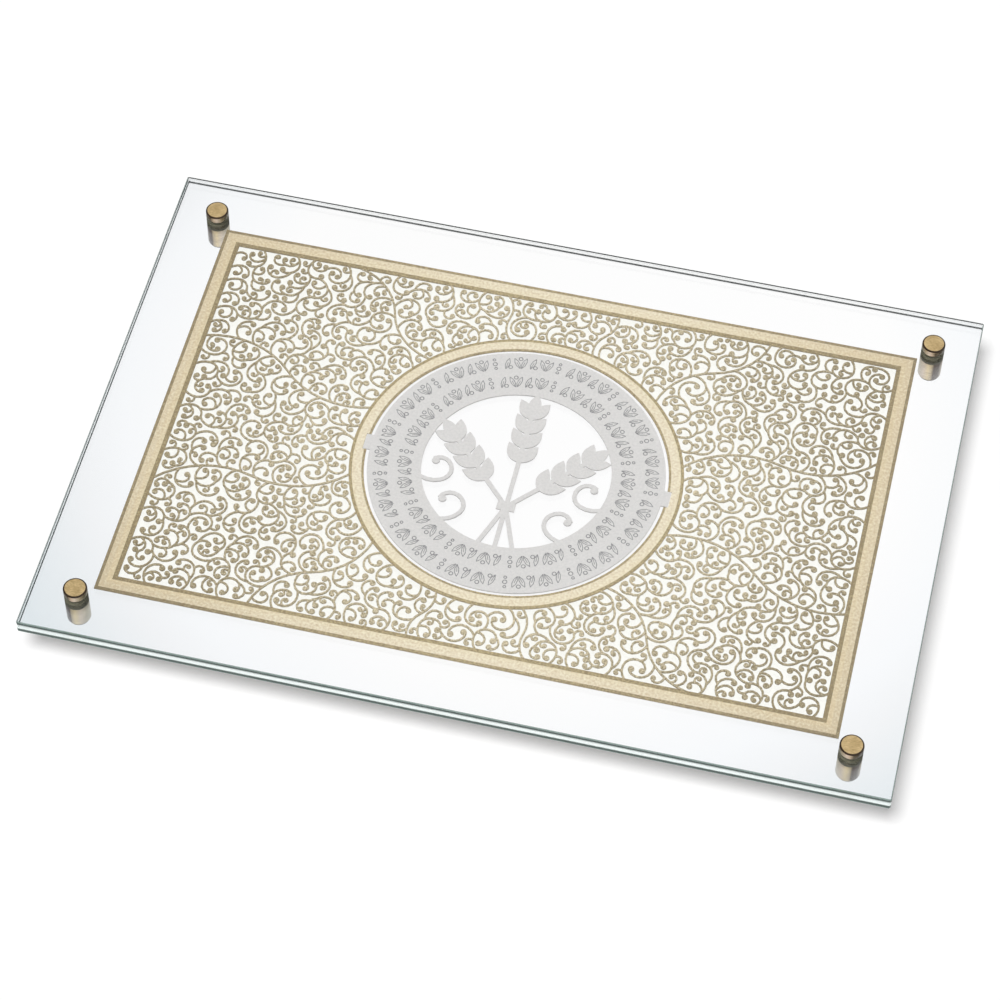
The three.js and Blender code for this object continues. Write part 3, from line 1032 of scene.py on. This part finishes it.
def plain_finish(name, dark, light, roughness):
    finish = Finish(name)
    grain = finish.noise(finish.place(), rubber_scale, grain_detail)
    shader = finish.surface({
        "Base Color": finish.blend(grain, dark, light),
        "Roughness": played(grain, roughness),
        "Normal": finish.bump(grain, rubber_depth * mm),
    })
    return finish.show(shader)


face_streaks = (900.0, 2600.0, 900.0)
round_streaks = (260.0, 260.0, 6000.0)
faint_streak, full_streak = (206, 204, 200), (255, 255, 255)
# Painted highlights and painted shade for the cap's side and the leg, by the way a face looks.
cap_painted_highlights = [
    (0.08, (108, 96, 60)), (0.22, (204, 184, 150)), (0.38, (252, 230, 208)),
    (0.52, (232, 204, 172)), (0.66, (96, 80, 48)), (0.95, (78, 66, 40)),
]
leg_painted_highlights = [
    (0.03, (206, 198, 176)), (0.25, (236, 220, 202)), (0.45, (250, 230, 186)),
    (0.60, (216, 198, 166)), (0.69, (98, 86, 80)), (0.90, (102, 92, 84)), (0.98, (180, 168, 148)),
]
cap_face = stud_metal("brass_face", (178, 152, 104), (224, 198, 148), 0.5, face_streaks, 0.4, 0.3)
# Painted dark reflection on the cap's rounded rim and the narrow ring inside it.
cap_rim_painted_dark = stud_metal("brass_rim_painted_reflection", (30, 20, 10), (60, 42, 24), 0.5, round_streaks, 0.2, 0.0)
cap_side = stud_metal("brass_side", faint_streak, full_streak, 0.34, round_streaks, 0.5, 0.75, cap_painted_highlights)
leg_side = stud_metal("bronze_leg", faint_streak, full_streak, 0.3, round_streaks, 0.75, 0.75, leg_painted_highlights)
washer_finish = plain_finish("dark_washer", colour(72, 72, 58), colour(110, 110, 90), 0.6)
foot_finish = plain_finish("foot_rubber", colour(36, 34, 32), colour(54, 52, 48), 0.75)

# %% The pieces of one stud
stud_sides = 72
shank_radius, bore_radius = 2.5, 2.8
shank_chamfer = 0.5
bore_spare = 1
drilled_radius = 4.6
cap_round = 0.5
rim_width = 0.7
leg_round = 0.3
washer_round = 0.1
foot_round = 0.2


def stand(shape, name, x, y):
    bmesh.ops.translate(shape, verts=shape.verts, vec=(x, y, 0))
    return mesh_of(shape, name)


def stud_cap(low, high, seat, radius):
    shape = turned([
        (0, low), (shank_radius - shank_chamfer, low), (shank_radius, low + shank_chamfer),
        (shank_radius, seat), (radius, seat), (radius, high), (radius - rim_width, high), (0, high),
    ], stud_sides, False, [4, 5], cap_round)
    for face in shape.faces:
        middle = face.calc_center_median()
        if middle.z > high - cap_round:
            # The rim's faces take the painted dark reflection, and the face inside it the plain brass.
            face.material_index = 1 if middle.xy.length > radius - rim_width else 0
        elif middle.z > seat:
            face.material_index = 2
    return shape


def stud_leg(low, high, radius, bore_low):
    return turned([
        (0, low), (radius, low), (radius, high),
        (bore_radius, high), (bore_radius, bore_low), (0, bore_low),
    ], stud_sides, False, [1, 2], leg_round)


def stud_washer(low, high, inner, outer):
    return turned(
        [(inner, low), (outer, low), (outer, high), (inner, high)], stud_sides, True, [1, 2], washer_round,
    )


def stud_foot(low, high, radius):
    return turned([(0, low), (radius, low), (radius, high), (0, high)], stud_sides, False, [1], foot_round)


# %% Four studs
def node_size(node):
    """A turned node's middle, its radius, and its lowest and highest point, in millimetres."""
    low, high = [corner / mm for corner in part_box(node)]
    return (low.x + high.x) / 2, (low.y + high.y) / 2, (high.x - low.x) / 2, low.z, high.z


cap_finishes = [cap_face, cap_rim_painted_dark, cap_side]
for place in ("front_left", "front_right", "back_left", "back_right"):
    x, y, stud_radius, shank_low, cap_high = node_size("cap_" + place)
    seat = node_size("cap_washer_" + place)[4]
    cap_mesh = stand(stud_cap(shank_low, cap_high, seat, stud_radius), "cap", x, y)
    make_piece("stud_cap_" + place, cap_mesh, cap_finishes, "cap_" + place)
    _, _, leg_radius, leg_low, leg_high = node_size("leg_" + place)
    bore_low = shank_low - bore_spare
    leg_mesh = stand(stud_leg(leg_low, leg_high, leg_radius, bore_low), "leg", x, y)
    make_piece("stud_leg_" + place, leg_mesh, [leg_side], "leg_" + place)
    for node, inner in (
        ("cap_washer_", bore_radius), ("leg_washer_", bore_radius), ("sleeve_", bore_radius),
        ("plate_spacer_", drilled_radius),
    ):
        _, _, outer, low, high = node_size(node + place)
        mesh = stand(stud_washer(low, high, inner, outer), "washer", x, y)
        make_piece("turned_" + node + place, mesh, [washer_finish], node + place)
    _, _, foot_radius, foot_low, foot_high = node_size("foot_pad_" + place)
    foot_mesh = stand(stud_foot(foot_low, foot_high, foot_radius), "foot", x, y)
    make_piece("round_foot_" + place, foot_mesh, [foot_finish], "foot_pad_" + place)

# %% [markdown]
# ## Glass
# Clear glass bends what lies behind it and shows its green tint at the edges, where the light has come a
# long way through it. A face is an edge where it doesn't lie flat, which its normal tells. The ground
# edges of the two plates are painted to look like one edge from outside: a green line, a bright band where
# the light comes out, and a green line again. The green is the glass's own tint, and the dark lines and
# the bright band are painted light. From inside only the rims show, painted as thin grey lines. The walls
# of the drilled holes are ground too, and the rubber shows through them. The glass is painted darker and
# bluer towards the corners, a painted reflection, and over the gold scrollwork it is warm white instead.
# Lamps would be blocked by glass, so rays that only ask for light pass through. The lower plate dims them
# most, which leaves the soft shadow under the tray.

# %% Glass finish
pair_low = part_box("lower_glass_plate")[0].z
pair_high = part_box("upper_glass_plate")[1].z
edge_steepness = 0.9
edge_cover = 0.9
rim_middle, rim_reach = 0.39, 0.29
rim_spread = 0.12
edge_green, edge_painted_bright = (58, 80, 74), (232, 242, 240)
# Painted light: the dark lines and the bright band of the edge, by height over the two plates.
edge_painted_light_stops = [
    (0.04, edge_painted_bright), (0.10, (120, 144, 136)), (0.16, edge_green), (0.31, edge_green),
    (0.39, edge_painted_bright), (0.72, edge_painted_bright), (0.78, edge_green), (0.91, edge_green),
    (0.97, (128, 146, 140)),
]
hole_reach = 1.5 * mm
stud_low, stud_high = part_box("cap_back_right")
stud_centre = (stud_low + stud_high) / 2
stud_reach = (stud_high.x - stud_low.x) / 2 + hole_reach
# Painted reflection: the glass is painted darker and bluer towards the corners of the tray.
painted_reflection_middle = Vector((10, 40, 18)) * mm
painted_reflection_from, painted_reflection_to = 150 * mm, 250 * mm
painted_reflection_stops = [
    (0.0, (255, 255, 255)), (0.4, (252, 253, 254)), (0.6, (249, 250, 251)), (1.0, (240, 244, 246)),
]
# Over the gold scrollwork the glass stays warm white, without the painted reflection.
warm_x, warm_y = [(half - border_width / 2) * mm for half in (panel_x, panel_y)]
warm_white = colour(255, 255, 252)
ground_dark, ground_light = colour(82, 82, 66), colour(126, 124, 104)
ground_roughness = 0.6
mottle_scale = 700.0
upper_dimming, lower_dimming = 0.99, 0.25


def clear_glass(name, dimming):
    """Clear glass that lets a share of a lamp's light through each of its faces."""
    finish = Finish(name)
    place = finish.place()
    x, y, z = finish.axes(place)
    normal_x, _, normal_z = finish.normal()
    edge = edge_steepness - normal_z.size() > 0.0
    inside = finish.node("NewGeometry", output="Backfacing")
    height = finish.node("MapRange", values={0: z, 1: pair_low, 2: pair_high})
    rim = (height - rim_middle).size() + normal_x.size() * rim_spread > rim_reach
    from_stud_x, from_stud_y = x.size() - stud_centre.x, y.size() - stud_centre.y
    near_stud = stud_reach ** 2 - from_stud_x * from_stud_x - from_stud_y * from_stud_y > 0.0
    mottle = finish.noise(place, mottle_scale, grain_detail)
    # Painted reflection, by the distance from the glass's middle.
    from_middle = finish.distance(place, painted_reflection_middle)
    painted_reflection_share = finish.node("MapRange", values={0: from_middle, 1: painted_reflection_from, 2: painted_reflection_to})
    over_panel = (warm_x - x.size() > 0.0) * (warm_y - y.size() > 0.0)
    over_gold = over_panel * (finish.distance(place, (0, 0, 0)) > ring_outer * mm)
    glass = finish.surface({
        "Base Color": finish.blend(over_gold, finish.ramp(painted_reflection_share, painted_reflection_stops), warm_white),
        "Roughness": 0.0,
        "IOR": 1.5,
        "Transmission Weight": 1.0,
    })
    ground = finish.surface({
        "Base Color": finish.blend(mottle, ground_dark, ground_light),
        "Roughness": played(mottle, ground_roughness),
    })
    # Painted light on the edge from outside, and painted thin grey rim lines from inside.
    painted_outer_edge = finish.surface({"Base Color": finish.ramp(height, edge_painted_light_stops), "Roughness": 0.25})
    painted_inner_rim = finish.surface({"Base Color": colour(92, 98, 98), "Roughness": 0.5})
    rimmed = finish.mix(edge * inside * rim, glass, painted_inner_rim)
    edged = finish.mix(edge * (1 - inside) * edge_cover, rimmed, painted_outer_edge)
    seen = finish.mix(edge * near_stud, edged, ground)
    dimmed = finish.node("BsdfTransparent", values={"Color": (dimming, dimming, dimming, 1)})
    open_way = finish.node("BsdfTransparent")
    lit = finish.mix(finish.is_ray("Shadow"), seen, dimmed)
    return finish.show(finish.mix(finish.is_ray("Diffuse"), lit, open_way))


for name, dimming in (("upper_glass_plate", upper_dimming), ("lower_glass_plate", lower_dimming)):
    frame["nodes"][name].material_slots[0].material = clear_glass(name + "_finish", dimming)

# %% [markdown]
# ## Floor, sun and sky
# The tray stands on a white floor under one wide, soft sun and an even sky. The floor takes the tray's
# shadow. Seen through the glass or in the metal it is plain white, as the paper behind the real tray is.
# Gloss sees a sky that is darker on the left, as a studio is beside its window, so that the glass and
# the metal aren't the same all over.

# %% Floor
full_white = (1, 1, 1, 1)
paper_white = (0.9, 0.9, 0.9, 1)
paper_lift = 0.07
floor_reach = 4

floor_finish = Finish("white_floor")
paper = floor_finish.node("BsdfDiffuse", values={"Color": paper_white})
lift = floor_finish.node("Emission", values={"Color": full_white, "Strength": paper_lift})
white = floor_finish.node("Emission", values={"Color": full_white, "Strength": 1.0})
through = floor_finish.is_ray("Transmission")
behind = through.maths("MAXIMUM", through, floor_finish.is_ray("Glossy"))
lifted = floor_finish.node("AddShader", values={0: paper, 1: lift})
direct = floor_finish.mix(floor_finish.is_ray("Camera"), paper, lifted)
floor_shader = floor_finish.mix(behind, direct, white)

floor_shape = bmesh.new()
bmesh.ops.create_grid(floor_shape, x_segments=2, y_segments=2, size=floor_reach)
floor_mesh = mesh_of(floor_shape, "floor")
floor_mesh.materials.append(floor_finish.show(floor_shader))
floor = bpy.data.objects.new("floor", floor_mesh)
bpy.context.collection.objects.link(floor)

# %% Sky
even_strength = 0.34
dark_side, bright_side = -0.33, 0.12
dark_strength, bright_strength = 0.3, 1.0

world = bpy.data.worlds.new("sky")
world.use_nodes = True
bpy.context.scene.world = world
sky = Finish("sky", world.node_tree)
even = sky.node("Background", values={"Color": full_white, "Strength": even_strength})
bright = sky.node("Background", values={"Color": full_white, "Strength": bright_strength})
towards_x = sky.axes(sky.node("TexCoord", output="Generated"))[0]
graded = sky.node("MapRange", values={
    0: towards_x, 1: dark_side, 2: bright_side, 3: dark_strength, 4: bright_strength,
})
mirror_sky = sky.node("Background", values={"Color": full_white, "Strength": graded})
sky_glossy = sky.mix(sky.is_ray("Glossy"), even, mirror_sky)
sky_through = sky.mix(sky.is_ray("Transmission"), sky_glossy, bright)
sky_seen = sky.mix(sky.is_ray("Camera"), sky_through, bright)
sky.node("OutputWorld", values={"Surface": sky_seen})

# %% Sun
sun_from = Vector((-0.2, -0.3, 1.0)).normalized()
sun_strength = 2.45
sun_spread = math.radians(35)

sun_data = bpy.data.lights.new("soft_sun", "SUN")
sun_data.energy = sun_strength
sun_data.angle = sun_spread
sun = bpy.data.objects.new("soft_sun", sun_data)
sun.rotation_euler = sun_from.to_track_quat("Z", "Y").to_euler()
sun.visible_transmission = False
sun.visible_glossy = False
bpy.context.collection.objects.link(sun)
bpy.context.scene.view_settings.view_transform = "Standard"
